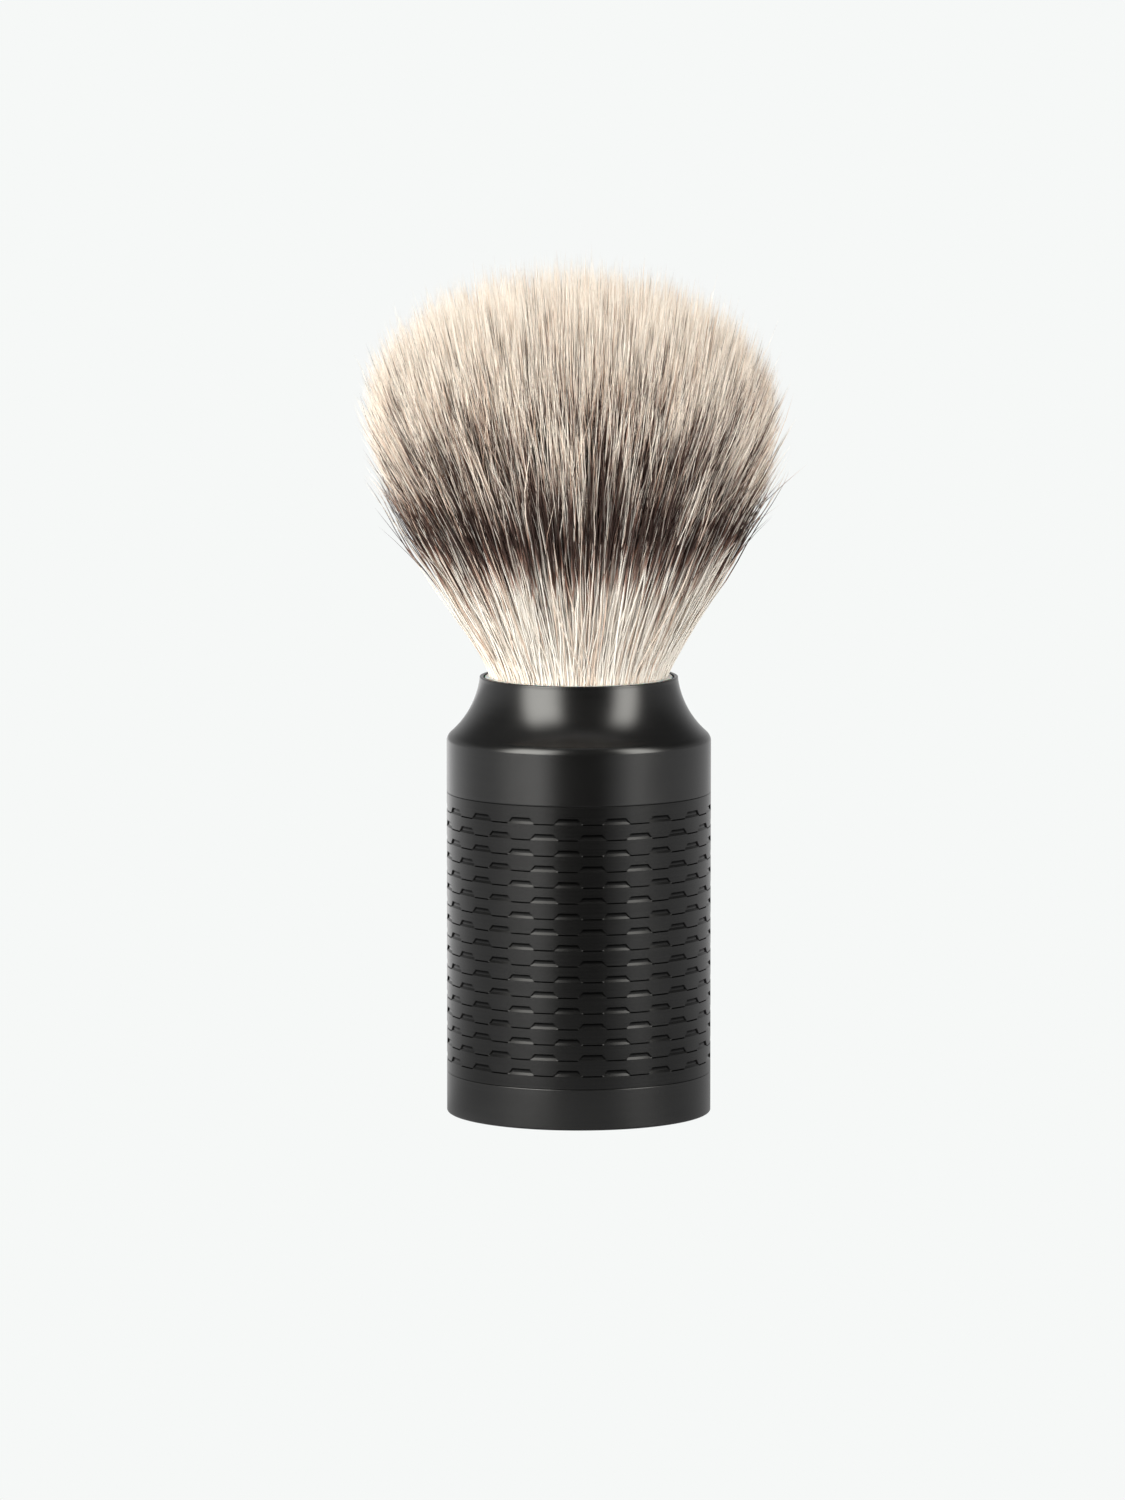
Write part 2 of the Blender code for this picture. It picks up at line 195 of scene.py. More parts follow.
# ---- Studio ----
# Turns are in degrees round the brush from the viewer's side, rises in degrees above the floor,
# and reaches in metres from the brush's axis.
BOX_LEFT = (-67.0, -24.0)
BOX_RIGHT = (43.5, 70.5)
BOX_RISE = (-8.0, 50.0)
BOX_LIGHT = (9.6, 8.6)
BOX_TINT = (1.0, 0.985, 0.93)
DARK_FRONT = (-72.0, 72.0)
WALL_LIGHT = 0.65
WALL_LIGHT_HIGH = 0.12
WALL_RISE = (-60.0, 20.0)
WALL_RIGHT = (30.0, 150.0)
GLIMMER = 0.022
OVERHEAD_RISE = (67.0, 120.0)
OVERHEAD_TURN = (-100.0, 85.0)
OVERHEAD_LIGHT = 0.9
FLOOR_DARK = (-27.0, 30.0)
FLOOR_NEAR = 0.65
FLOOR_FAR = 1.0
FLOOR_FRONT = 0.44
FLOOR_SPILL = 0.45
FLOOR_RIGHT = (45.0, 165.0)
FLOOR_LEFT = (-112.0, -68.0)
FLOOR_LEFT_BACK = (-200.0, -142.0)
FLOOR_R = 14.0
NEAR_REACH = (-0.1, 0.085)
SPILL_REACH = (0.05, 99.0)
SPILL_LEFT = (BOX_LEFT[1] - 20.0, BOX_LEFT[1])
SPILL_RIGHT = (BOX_RIGHT[0], BOX_RIGHT[0] + 13.0)
RIGHT_DIMMER = 0.35
LEFT_DIMMER = 0.3
LEFT_BACK_LIGHT = 0.35
FRONT_POWER = 2.8
FRONT_AT = (0.0, -0.8, 0.06)
BACK_POWER = 2.5
BACK_AT = (0.0, 0.8, 0.12)


# ---------------------------------------------------------------- node helpers
def new_material(name):
    """A material, its nodes, its links and its Principled shader."""
    mat = bpy.data.materials.new(name)
    mat.use_nodes = True
    nodes = mat.node_tree.nodes
    return mat, nodes, mat.node_tree.links, nodes["Principled BSDF"]


def node(nodes, kind, **values):
    """A new node, with values given by the names of its inputs or its own properties."""
    n = nodes.new(kind)
    for key, value in values.items():
        if key in n.inputs:
            n.inputs[key].default_value = value
        else:
            setattr(n, key, value)
    return n


def maths(nodes, links, operation, a, b=None, c=None):
    """The output of one operation, on a, b and c that are each a number or a socket."""
    n = nodes.new("ShaderNodeMath")
    n.operation = operation
    for k, value in enumerate((a, b, c)):
        if value is None:
            continue
        if isinstance(value, (int, float)):
            n.inputs[k].default_value = value
        else:
            links.new(value, n.inputs[k])
    return n.outputs[0]


def ramp(nodes, links, factor, stops):
    """The colour at factor on a ramp whose stops are (position, colour)."""
    n = nodes.new("ShaderNodeValToRGB")
    while len(n.color_ramp.elements) < len(stops):
        n.color_ramp.elements.new(0.5)
    for element, (at, colour) in zip(n.color_ramp.elements, stops):
        element.position = at
        element.color = (*colour, 1.0)
    links.new(factor, n.inputs[0])
    return n.outputs[0]


def grey(value):
    return (value, value, value)


# ---------------------------------------------------------------- materials
def turned_black(name, roughness, tint, has_grooves=False):
    """Black-coated steel with the faint rings that a lathe tool leaves.

    In the grooves, painted shade: a value on the mesh drives the Metallic socket, so the coat
    reflects little there.
    """
    mat, nodes, links, shader = new_material(name)
    place = node(nodes, "ShaderNodeTexCoord").outputs["Object"]
    stretch = node(nodes, "ShaderNodeMapping")
    stretch.inputs["Scale"].default_value = (60.0, 60.0, 9000.0)
    links.new(place, stretch.inputs["Vector"])
    rings = node(nodes, "ShaderNodeTexNoise", Scale=1.0, Detail=4.0, Roughness=0.6)
    links.new(stretch.outputs[0], rings.inputs["Vector"])
    cloud = node(nodes, "ShaderNodeTexNoise", Scale=220.0, Detail=3.0)
    links.new(place, cloud.inputs["Vector"])
    bump = node(nodes, "ShaderNodeBump", Strength=0.1, Distance=0.02 * MM)
    links.new(rings.outputs["Fac"], bump.inputs["Height"])
    links.new(bump.outputs[0], shader.inputs["Normal"])
    tone = ramp(nodes, links, rings.outputs["Fac"], [(0.3, grey(0.0015)), (0.7, grey(0.004))])
    links.new(tone, shader.inputs["Base Color"])
    spread = 0.06
    lowest = roughness - spread / 2
    uneven = maths(nodes, links, "MULTIPLY_ADD", cloud.outputs["Fac"], spread, lowest)
    links.new(uneven, shader.inputs["Roughness"])
    if has_grooves:
        # painted shade: where the mesh's groove value is high, in the slits and on the pockets'
        # walls, the coat reflects little
        painted_groove_shade = node(nodes, "ShaderNodeAttribute", attribute_name="painted_groove_shade").outputs["Fac"]
        links.new(painted_groove_shade, shader.inputs["Metallic"])
    shader.inputs["IOR"].default_value = 1.5
    shader.inputs["Specular Tint"].default_value = (*grey(tint), 1.0)
    return mat


def cup_plastic():
    """Milky, slightly see-through moulded plastic."""
    mat, nodes, links, shader = new_material("cup_plastic")
    place = node(nodes, "ShaderNodeTexCoord").outputs["Object"]
    cloud = node(nodes, "ShaderNodeTexNoise", Scale=400.0, Detail=2.0)
    links.new(place, cloud.inputs["Vector"])
    tone = ramp(
        nodes,
        links,
        cloud.outputs["Fac"],
        [(0.3, (0.42, 0.43, 0.41)), (0.7, (0.5, 0.51, 0.49))],
    )
    links.new(tone, shader.inputs["Base Color"])
    shader.inputs["Roughness"].default_value = 0.3
    shader.inputs["Subsurface Weight"].default_value = 0.3
    shader.inputs["Subsurface Scale"].default_value = 1.0 * MM
    return mat


def plain_grain(name, light, dark, roughness, metallic=0.0, scale=900.0):
    """A hidden part's finish: two close tones in a fine grain, and a little bump."""
    mat, nodes, links, shader = new_material(name)
    place = node(nodes, "ShaderNodeTexCoord").outputs["Object"]
    grain = node(nodes, "ShaderNodeTexNoise", Scale=scale, Detail=4.0)
    links.new(place, grain.inputs["Vector"])
    tone = ramp(nodes, links, grain.outputs["Fac"], [(0.35, dark), (0.65, light)])
    links.new(tone, shader.inputs["Base Color"])
    bump = node(nodes, "ShaderNodeBump", Strength=0.2, Distance=0.03 * MM)
    links.new(grain.outputs["Fac"], bump.inputs["Height"])
    links.new(bump.outputs[0], shader.inputs["Normal"])
    shader.inputs["Roughness"].default_value = roughness
    shader.inputs["Metallic"].default_value = metallic
    return mat


def fibre_material():
    """Cream at the root, a dark band half way up, then ivory to the tip.

    "along" is the distance from the cup's lip in millimetres. "low" and "high" are where each
    fibre's band starts and ends, "dye" is how dark it is there, and "tone" its overall shade.
    """
    mat, nodes, links, shader = new_material("fibre")
    values = {}
    for key in ("along", "low", "high", "dye", "tone"):
        values[key] = node(nodes, "ShaderNodeAttribute", attribute_name=key).outputs["Fac"]

    def between(low, high):
        """0 to 1 from low to high millimetres along the fibre."""
        span = high - low
        return maths(nodes, links, "MULTIPLY_ADD", values["along"], 1 / span, -low / span)

    def past(key, scale):
        """0 to 1 over a length of scale millimetres, 0.5 where the band's edge is."""
        over = maths(nodes, links, "SUBTRACT", values["along"], values[key])
        return maths(nodes, links, "MULTIPLY_ADD", over, 1.0 / scale, 0.5)

    def mixed(share, a, b, kind="MIX"):
        n = node(nodes, "ShaderNodeMix", data_type="RGBA", blend_type=kind)
        for socket, value in ((n.inputs[0], share), (n.inputs[6], a), (n.inputs[7], b)):
            if isinstance(value, bpy.types.NodeSocket):
                links.new(value, socket)
            elif isinstance(value, tuple):
                socket.default_value = (*value, 1.0)
            else:
                socket.default_value = value
        return n.outputs[2]

    cream = (0.79, 0.745, 0.68)
    russet = (0.26, 0.15, 0.115)
    dark = (0.042, 0.023, 0.018)
    umber = (0.11, 0.056, 0.041)
    taupe = (0.38, 0.265, 0.215)
    ivory = (0.86, 0.79, 0.705)
    pale = ramp(nodes, links, between(15.0, 35.0), [(0.0, cream), (1.0, ivory)])
    into = ramp(
        nodes,
        links,
        past("low", 6.0),
        [(0.0, cream), (0.3, cream), (0.6, russet), (0.95, dark)],
    )
    out = ramp(
        nodes,
        links,
        past("high", 9.0),
        [(0.0, dark), (0.3, dark), (0.5, umber), (0.66, taupe), (0.95, ivory)],
    )
    upper = maths(nodes, links, "GREATER_THAN", values["along"], BAND_MIDDLE)
    banded = mixed(upper, into, out)
    colour = mixed(values["dye"], pale, banded)
    brown = (0.74, 0.55, 0.46)
    tan = (0.87, 0.78, 0.72)
    shade = ramp(
        nodes,
        links,
        values["tone"],
        [(0.0, brown), (0.25, tan), (0.5, grey(0.96)), (1.0, grey(1.05))],
    )
    # painted shade: the fibres grow a little darker over their last part towards the tip, where the
    # light from above falls most
    tip_shade_tone = (0.9, 0.905, 0.91)
    painted_tip_shade = ramp(nodes, links, between(33.0, 47.0), [(0.0, WHITE), (1.0, tip_shade_tone)])
    shaded = mixed(1.0, mixed(1.0, colour, shade, "MULTIPLY"), painted_tip_shade, "MULTIPLY")
    links.new(shaded, shader.inputs["Base Color"])
    rough = maths(nodes, links, "MULTIPLY_ADD", values["tone"], 0.15, 0.4)
    links.new(rough, shader.inputs["Roughness"])
    shader.inputs["IOR"].default_value = 1.45
    return mat


# ---------------------------------------------------------------- meshes
def mesh_object(name, verts, faces, mat, sharp=math.radians(30)):
    """A smooth mesh in the scene, whose edges are kept sharp from the angle sharp on."""
    mesh = bpy.data.meshes.new(name)
    mesh.from_pydata([tuple(v) for v in verts], [], faces)
    mesh.shade_smooth()
    if sharp is not None:
        mesh.set_sharp_from_angle(angle=sharp)
    mesh.materials.append(mat)
    ob = bpy.data.objects.new(name, mesh)
    bpy.context.scene.collection.objects.link(ob)
    return ob


def ring_faces(rings, closed):
    """Quads between neighbouring rings of vertex numbers, and back to the first if closed."""
    pairs = list(zip(rings, rings[1:]))
    if closed:
        pairs.append((rings[-1], rings[0]))
    faces = []
    for low, high in pairs:
        n = len(low)
        for k in range(n):
            m = (k + 1) % n
            faces.append((low[k], low[m], high[m], high[k]))
    return faces


def supported(profile):
    """The closed profile with a point close to each end of its long sides, to keep them straight."""
    points = []
    for here, there in zip(profile, profile[1:] + profile[:1]):
        points.append(here)
        run = math.dist(here, there)
        if run > LONG_SIDE:
            for share in (SUPPORT / run, 1 - SUPPORT / run):
                points.append(tuple(a + (b - a) * share for a, b in zip(here, there)))
    return points


def turned(name, profile, mat):
    """A closed (radius, height) profile, material on its left, turned about Z."""
    verts = []
    rings = []
    for r, z in supported(profile):
        rings.append(range(len(verts), len(verts) + ROUND_STEPS))
        for k in range(ROUND_STEPS):
            a = math.tau * k / ROUND_STEPS
            verts.append((r * math.cos(a), r * math.sin(a), z))
    return mesh_object(name, verts, ring_faces(rings, True), mat)


def arc(centre, radius, start, end, steps):
    """Points on an arc from the angle start to the angle end, both included."""
    points = []
    for k in range(steps + 1):
        a = start + (end - start) * k / steps
        points.append((centre[0] + radius * math.cos(a), centre[1] + radius * math.sin(a)))
    return points


def corner(r, z, size, start, steps=4):
    """A rounded right-angled corner at (r, z) whose quarter arc begins at the angle start."""
    inward = start + math.pi / 4
    reach = size * math.sqrt(2)
    centre = (r - reach * math.cos(inward), z - reach * math.sin(inward))
    return arc(centre, size, start, start + math.pi / 2, steps)


def neck_curve(steps):
    """The hollow neck: one arc from the shoulder to the rim, nearly upright at the top."""
    rise = NECK_TOP - SHOULDER_Z
    low_slope = 2 * math.atan2(SHOULDER_R - RIM_R, rise) - NECK_TOP_SLOPE
    radius = rise / (math.sin(low_slope) - math.sin(NECK_TOP_SLOPE))
    centre = (
        RIM_R + radius * math.cos(NECK_TOP_SLOPE),
        NECK_TOP + radius * math.sin(NECK_TOP_SLOPE),
    )
    return arc(centre, radius, math.pi + low_slope, math.pi + NECK_TOP_SLOPE, steps)


def shoulder_round(steps):
    """The soft corner between the upright band and the foot of the neck."""
    low = Vector((HANDLE_R, SHOULDER_EDGE_Z))
    high = Vector((SHOULDER_R, SHOULDER_Z))
    peak = Vector((HANDLE_R - 0.02 * MM, SHOULDER_Z - (HANDLE_R - SHOULDER_R) * 1.1))
    points = []
    for k in range(steps + 1):
        t = k / steps
        p = low * (1 - t) ** 2 + peak * 2 * t * (1 - t) + high * t * t
        points.append((p.x, p.y))
    return points


def collar_skin(mat):
    """The collar's outside, rim and socket, down to its lower edge."""
    socket_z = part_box("knot_cup")[0].z - WASHER_SPACE
    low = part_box("collar")[0].z
    profile = [(TUBE_SEAT_R, low), (SPIGOT_R, low), (SPIGOT_R, COLLAR_LOW)]
    profile += corner(HANDLE_R, COLLAR_LOW, 0.1 * MM, -math.pi / 2)
    profile += shoulder_round(12)
    profile += neck_curve(28)[1:]
    profile += corner(RIM_R, RIM_Z, 0.12 * MM, 0.0)
    profile += corner(RIM_BORE_R, RIM_Z, -0.06 * MM, -math.pi / 2)[::-1]
    profile += [(RIM_BORE_R, socket_z), (INSERT_SEAT_R, socket_z)]
    profile += [(INSERT_SEAT_R, INSERT_SEAT_LOW), (TUBE_SEAT_R, INSERT_SEAT_LOW)]
    ob = turned("collar_turned", profile, mat)
    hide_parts("collar")
    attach(ob, "handle")


def base_skin(mat):
    """The base cap's outside, the recess for the foot pad, and the spigot inside the sleeve."""
    spigot_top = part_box("base_cap")[1].z
    profile = [(CENTRE_R, FOOT_RECESS_TALL), (FOOT_RECESS_R, FOOT_RECESS_TALL)]
    profile.append((FOOT_RECESS_R, 0.0))
    profile += corner(HANDLE_R, 0.0, 0.18 * MM, -math.pi / 2)
    profile += corner(HANDLE_R, BASE_TOP, 0.06 * MM, 0.0)
    profile += [(SPIGOT_R, BASE_TOP), (SPIGOT_R, spigot_top), (TUBE_SEAT_R, spigot_top)]
    profile += [(TUBE_SEAT_R, BASE_FLOOR_Z), (CENTRE_R, BASE_FLOOR_Z)]
    ob = turned("base_turned", profile, mat)
    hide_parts("base_cap")
    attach(ob, "handle")


def cup_skin(mat):
    """The moulded cup, with a rounded lip just below the collar's rim."""
    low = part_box("knot_cup")[0].z
    lip = min(LIP_Z, RIM_Z - 0.02 * MM)
    bore_r = CUP_R - 0.5 * MM
    floor_z = low + 1.6 * MM
    hole_r = 4.2 * MM
    bevel = 0.4 * MM
    profile = [(hole_r, low), (CUP_R - bevel, low), (CUP_R, low + bevel)]
    profile += corner(CUP_R, lip, 0.2 * MM, 0.0, 5)
    profile += [(bore_r, lip), (bore_r, floor_z), (hole_r, floor_z)]
    ob = turned("cup_moulded", profile, mat)
    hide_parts("knot_cup")
    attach(ob, "head")


def grip_columns():
    """Angles round the sleeve, as shares of one period, with one at every bend of a pocket.

    Neighbouring rows are half a period apart, so the bends of both are columns.
    """
    slope_points = (0.0, 0.18, 0.38, 0.6, 1.0)
    bends = []
    for share in slope_points:
        bends.append(GRIP_LOW_SHARE + GRIP_SLOPE_SHARE * share)
        bends.append(1.0 - GRIP_SLOPE_SHARE * share)
    marks = sorted({round((b + shift) % 1.0, 6) for b in bends for shift in (0.0, 0.5)})
    widest = 0.08
    shares = []
    for here, there in zip(marks, marks[1:] + [marks[0] + 1.0]):
        steps = max(1, math.ceil((there - here) / widest))
        shares += [here + (there - here) * k / steps for k in range(steps)]
    return shares


def pocket_height(share):
    """The height of the pocket's outline at a share of its period: nothing, a slope, level."""
    share %= 1.0
    climb = (share - GRIP_LOW_SHARE) / GRIP_SLOPE_SHARE
    drop = (1.0 - share) / GRIP_SLOPE_SHARE
    return POCKET_TALL * min(1.0, max(0.0, min(climb, drop)))


def groove_section(tall):
    """(height, depth, shade) points up through a row: a slit where tall is 0, else a pocket.

    A pocket has a ramp in, a floor, and a sloping wall back out. Its outline is tall above the
    row's line, and the slit closes as the pocket opens. The shade is painted shade in the groove.
    """
    lift = 0.01 * MM
    apart = 0.004 * MM
    shut = 1.0 - min(1.0, tall / POCKET_WALL)
    low = SLIT_TALL * shut + lift
    top = low + tall
    wall = POCKET_DEPTH / POCKET_WALL
    meet = (top * wall + low * POCKET_RAMP) / (wall + POCKET_RAMP)
    if (top - meet) * wall <= POCKET_DEPTH:
        ramp_end = wall_foot = (meet, (top - meet) * wall)
    else:
        ramp_end = (low + POCKET_DEPTH / POCKET_RAMP, POCKET_DEPTH)
        wall_foot = (top - POCKET_WALL, POCKET_DEPTH)
    slit = [(-SLIT_LEDGE * shut, 0.0), (0.0, SLIT_DEPTH * shut)]
    points = slit + [(low, 0.0), ramp_end, wall_foot, (top, 0.0)]
    # painted shade at each point of the section: darkest in the slit and on the pocket's wall
    shades = (0.0, shut, 0.1 * shut, 0.0, 0.9 * (1.0 - shut), 0.05 * (1.0 - shut))
    section = []
    for k, ((height, depth), shade) in enumerate(zip(points, shades)):
        section.append((height + apart * k, depth, shade))
    return section


def grip_sleeve(mat):
    """The sleeve: rings of points at the same angles, with six rings through each row of grooves."""
    shares = grip_columns()
    parts = [period + share for period in range(GRIP_PERIODS) for share in shares]
    middle_of_pocket = (1.0 + GRIP_LOW_SHARE) / 2
    turns = []
    for part in parts:
        turn = math.tau * (part - middle_of_pocket) / GRIP_PERIODS - math.pi / 2 + GRIP_PHASE
        turns.append((math.cos(turn), math.sin(turn)))
    rings = []
    verts = []
    painted_groove_shade = []

    def add_ring(points):
        rings.append(range(len(verts), len(verts) + len(parts)))
        for (c, s), (z, depth, shade) in zip(turns, points):
            verts.append(((HANDLE_R - depth) * c, (HANDLE_R - depth) * s, z))
            painted_groove_shade.append(shade)

    def level(z, depth):
        add_ring([(z, depth, 0.0)] * len(parts))

    bore_depth = HANDLE_R - SLEEVE_BORE_R
    edge = 0.05 * MM
    level(GRIP_LOW, bore_depth)
    level(GRIP_LOW, edge)
    level(GRIP_LOW + edge, 0.0)
    for row in range(GRIP_ROWS):
        z = GRIP_FIRST_Z + row * GRIP_PITCH
        shift = 0.5 * (row % 2)
        sections = [groove_section(pocket_height(part + shift)) for part in parts]
        for k in range(6):
            add_ring([(z + section[k][0], *section[k][1:]) for section in sections])
    level(GRIP_HIGH - edge, 0.0)
    level(GRIP_HIGH, edge)
    level(GRIP_HIGH, bore_depth)
    ob = mesh_object("grip_textured", verts, ring_faces(rings, True), mat, math.radians(18))
    # painted shade in the slits and on the pockets' walls, read by the sleeve's coat
    attribute = ob.data.attributes.new("painted_groove_shade", "FLOAT", "POINT")
    attribute.data.foreach_set("value", painted_groove_shade)
    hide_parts("grip_sleeve")
    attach(ob, "handle")


# ---------------------------------------------------------------- fibres
def fan_radius(z):
    """The tuft's outer radius at each height: the cup's bore, a swell to FAN_R, then an ease."""
    span = FAN_Z - LIP_Z
    t = np.clip((z - LIP_Z) / span, 0.0, 1.0)
    lead = FAN_START_SLOPE * span
    end = FAN_END_SLOPE * span
    swell = FAN_R - ROOT_R
    square = 3 * swell - 2 * lead - end
    cube = lead + end - 2 * swell
    above = np.maximum(z - FAN_Z, 0.0)
    ease = FAN_END_SLOPE * FAN_EASE * (1 - np.exp(-above / FAN_EASE))
    return ROOT_R + lead * t + square * t**2 + cube * t**3 + ease


def tuft_numbers(x, y, centre_x, centre_y):
    """For each fibre, the number of the nearest tuft centre."""
    numbers = np.empty(len(x), int)
    for start in range(0, len(x), 2000):
        part = slice(start, start + 2000)
        apart = (x[part, None] - centre_x) ** 2 + (y[part, None] - centre_y) ** 2
        numbers[part] = np.argmin(apart, axis=1)
    return numbers


def fibre_paths(rng):
    """Centre lines of all fibres, (fibre, point, xyz), their azimuths, outerness and tufts.

    Outerness is 0 for most fibres and rises to 1 at the tuft's outside. A tuft's number is shared
    by a small group of fibres that lean together and close up at the tip.
    """
    n = FIBRES
    golden = math.pi * (3 - math.sqrt(5))
    order = np.arange(n)
    q = np.sqrt((order + 0.5) / n)
    azimuth = order * golden + rng.normal(0, 0.01, n)
    dome_rise = TIP_Z - FAN_Z
    turn = np.arccos(1 - q**2 * (1 - math.cos(TIP_TURN)))
    outer = np.clip((q - OUTER_FROM) / OUTER_SPAN, 0, 1)
    tip_z = FAN_Z + dome_rise * np.sign(np.cos(turn)) * np.abs(np.cos(turn)) ** DOME_POWER
    tip_share = np.where(turn < math.pi / 2, np.sin(turn), 1.0)
    tip_share *= np.where(tip_z > FAN_Z, FAN_R / fan_radius(tip_z), 1.0)

    # lengths differ a little at the dome, and many of the outer fibres stop part way up
    short = outer * (rng.random(n) < SHORT_OFTEN) * SHORT_MOST * rng.random(n) ** 1.6
    reach = (tip_z - ROOT_Z) * (1 + rng.normal(LENGTH_MEAN, LENGTH_SPREAD, n) - short)
    t = np.linspace(0, 1, FIBRE_POINTS)[None, :]
    z = ROOT_Z + reach[:, None] * t
    grow = np.clip((z - ROOT_Z) / (tip_z - ROOT_Z)[:, None], 0, None) ** 1.5
    radius = fan_radius(z)
    r = radius * (q[:, None] + (tip_share - q)[:, None] * grow)

    # tufts lean together, and every fibre leans, bows and waves on its own
    rx, ry = q * np.cos(azimuth), q * np.sin(azimuth)
    number = np.arange(TUFTS)
    centre_q = np.sqrt((number + 0.5) / TUFTS) + rng.normal(0, 0.008, TUFTS)
    centre_turn = number * golden + 1.0
    centre_x, centre_y = centre_q * np.cos(centre_turn), centre_q * np.sin(centre_turn)
    tuft = tuft_numbers(rx, ry, centre_x, centre_y)
    rise = np.clip((z - LIP_Z) / (TIP_Z - LIP_Z), 0, 1)
    loose = np.where(rng.random(n) < LOOSE_OFTEN + LOOSE_OUTER * outer, LOOSE_BY, 1.0)
    lean_out = rng.normal(0, TUFT_LEAN_OUT, TUFTS)[tuft] + LEAN_OUT * loose * rng.normal(0, 1, n)
    lean_side = rng.normal(0, TUFT_LEAN_SIDE, TUFTS)[tuft]
    lean_side += LEAN_SIDE * loose * rng.normal(0, 1, n)
    bow_out = BOW_OUT * loose * rng.normal(0, 1, n)
    bow_side = BOW_SIDE * loose * rng.normal(0, 1, n)
    stray = (rng.random(n) < STRAY_OFTEN) * rng.exponential(STRAY_REACH, n) * outer
    bow = np.sin(math.pi * np.clip(rise * 1.3, 0, 1))
    ripple = math.tau * (t * rng.uniform(*RIPPLE_TURNS, n)[:, None] + rng.random(n)[:, None])
    ripple = np.sin(ripple) * rise**0.7 * RIPPLE * loose[:, None]
    out = lean_out[:, None] * rise**1.5 + bow_out[:, None] * bow + ripple
    out += stray[:, None] * t**4
    side = lean_side[:, None] * rise**1.3 + bow_side[:, None] * bow + ripple[::-1]
    r = r + out * MM
    ca, sa = np.cos(azimuth)[:, None], np.sin(azimuth)[:, None]
    pull = rng.uniform(*TUFT_PULL, TUFTS)[tuft][:, None] * radius * rise**2
    x = r * ca - side * MM * sa + (centre_x[tuft] - rx)[:, None] * pull - FAN_LEAN * rise
    y = r * sa + side * MM * ca + (centre_y[tuft] - ry)[:, None] * pull
    return np.stack([x, y, z], axis=2), azimuth, outer, tuft


def fibre_tubes(paths, spin, radius):
    """Vertices of three-sided tapered tubes along the paths, each turned by spin and pointed."""
    n, m, _ = paths.shape
    along = np.gradient(paths, axis=1)
    along /= np.linalg.norm(along, axis=2, keepdims=True)
    aim = np.stack([np.cos(spin), np.sin(spin), np.zeros(n)], axis=1)[:, None, :]
    u = np.cross(along, np.broadcast_to(aim, paths.shape))
    u /= np.linalg.norm(u, axis=2, keepdims=True)
    v = np.cross(along, u)
    t = np.linspace(0, 1, m)
    taper = 1.0 - TAPER_BY * np.clip((t - TAPER_FROM) / TAPER_SPAN, 0, 1) ** 1.3
    size = radius[:, None] * taper[None, :]
    sides = []
    for k in range(FIBRE_SIDES):
        a = math.tau * k / FIBRE_SIDES
        step = u * math.cos(a) + v * math.sin(a)
        sides.append(paths + step * size[:, :, None])
    rings = np.stack(sides, axis=2)[:, :-1].reshape(n, (m - 1) * FIBRE_SIDES, 3)
    return np.concatenate([rings, paths[:, -1:, :]], axis=1)


def fibre_faces():
    """Faces of one tube: a root cap, the sides and the tip, as lists of corner numbers."""
    s = FIBRE_SIDES
    rings = FIBRE_POINTS - 1
    quads = []
    for ring in range(rings - 1):
        for k in range(s):
            m = (k + 1) % s
            a = ring * s
            quads.append((a + k, a + m, a + s + m, a + s + k))
    last = (rings - 1) * s
    tris = [(last + k, last + (k + 1) % s, rings * s) for k in range(s)]
    tris.append(tuple(range(s - 1, -1, -1)))
    return np.array(quads), np.array(tris)


def fibre_mesh(name, points, values, mat):
    """One mesh of many tubes, with a float attribute for each list in values."""
    count, per_tube, _ = points.shape
    quads, tris = fibre_faces()
    starts = (np.arange(count) * per_tube)[:, None, None]
    quads = (quads[None] + starts).reshape(-1, 4)
    tris = (tris[None] + starts).reshape(-1, 3)
    mesh = bpy.data.meshes.new(name)
    mesh.vertices.add(count * per_tube)
    mesh.vertices.foreach_set("co", points.reshape(-1).astype(np.float32))
    loops = np.concatenate([quads.reshape(-1), tris.reshape(-1)])
    begins = np.concatenate([np.arange(len(quads)) * 4, len(quads) * 4 + np.arange(len(tris)) * 3])
    mesh.loops.add(len(loops))
    mesh.loops.foreach_set("vertex_index", loops.astype(np.int32))
    mesh.polygons.add(len(begins))
    mesh.polygons.foreach_set("loop_start", begins.astype(np.int32))
    mesh.update(calc_edges=True)
    mesh.shade_smooth()
    for key, value in values.items():
        attribute = mesh.attributes.new(key, "FLOAT", "POINT")
        attribute.data.foreach_set("value", value.reshape(-1).astype(np.float32))
    mesh.materials.append(mat)
    ob = bpy.data.objects.new(name, mesh)
    bpy.context.scene.collection.objects.link(ob)
    return ob


def per_vertex(per_point):
    """A value for each path point, spread over the tube's corners and its tip."""
    rings = np.repeat(per_point[:, :-1], FIBRE_SIDES, axis=1)
    return np.concatenate([rings, per_point[:, -1:]], axis=1)


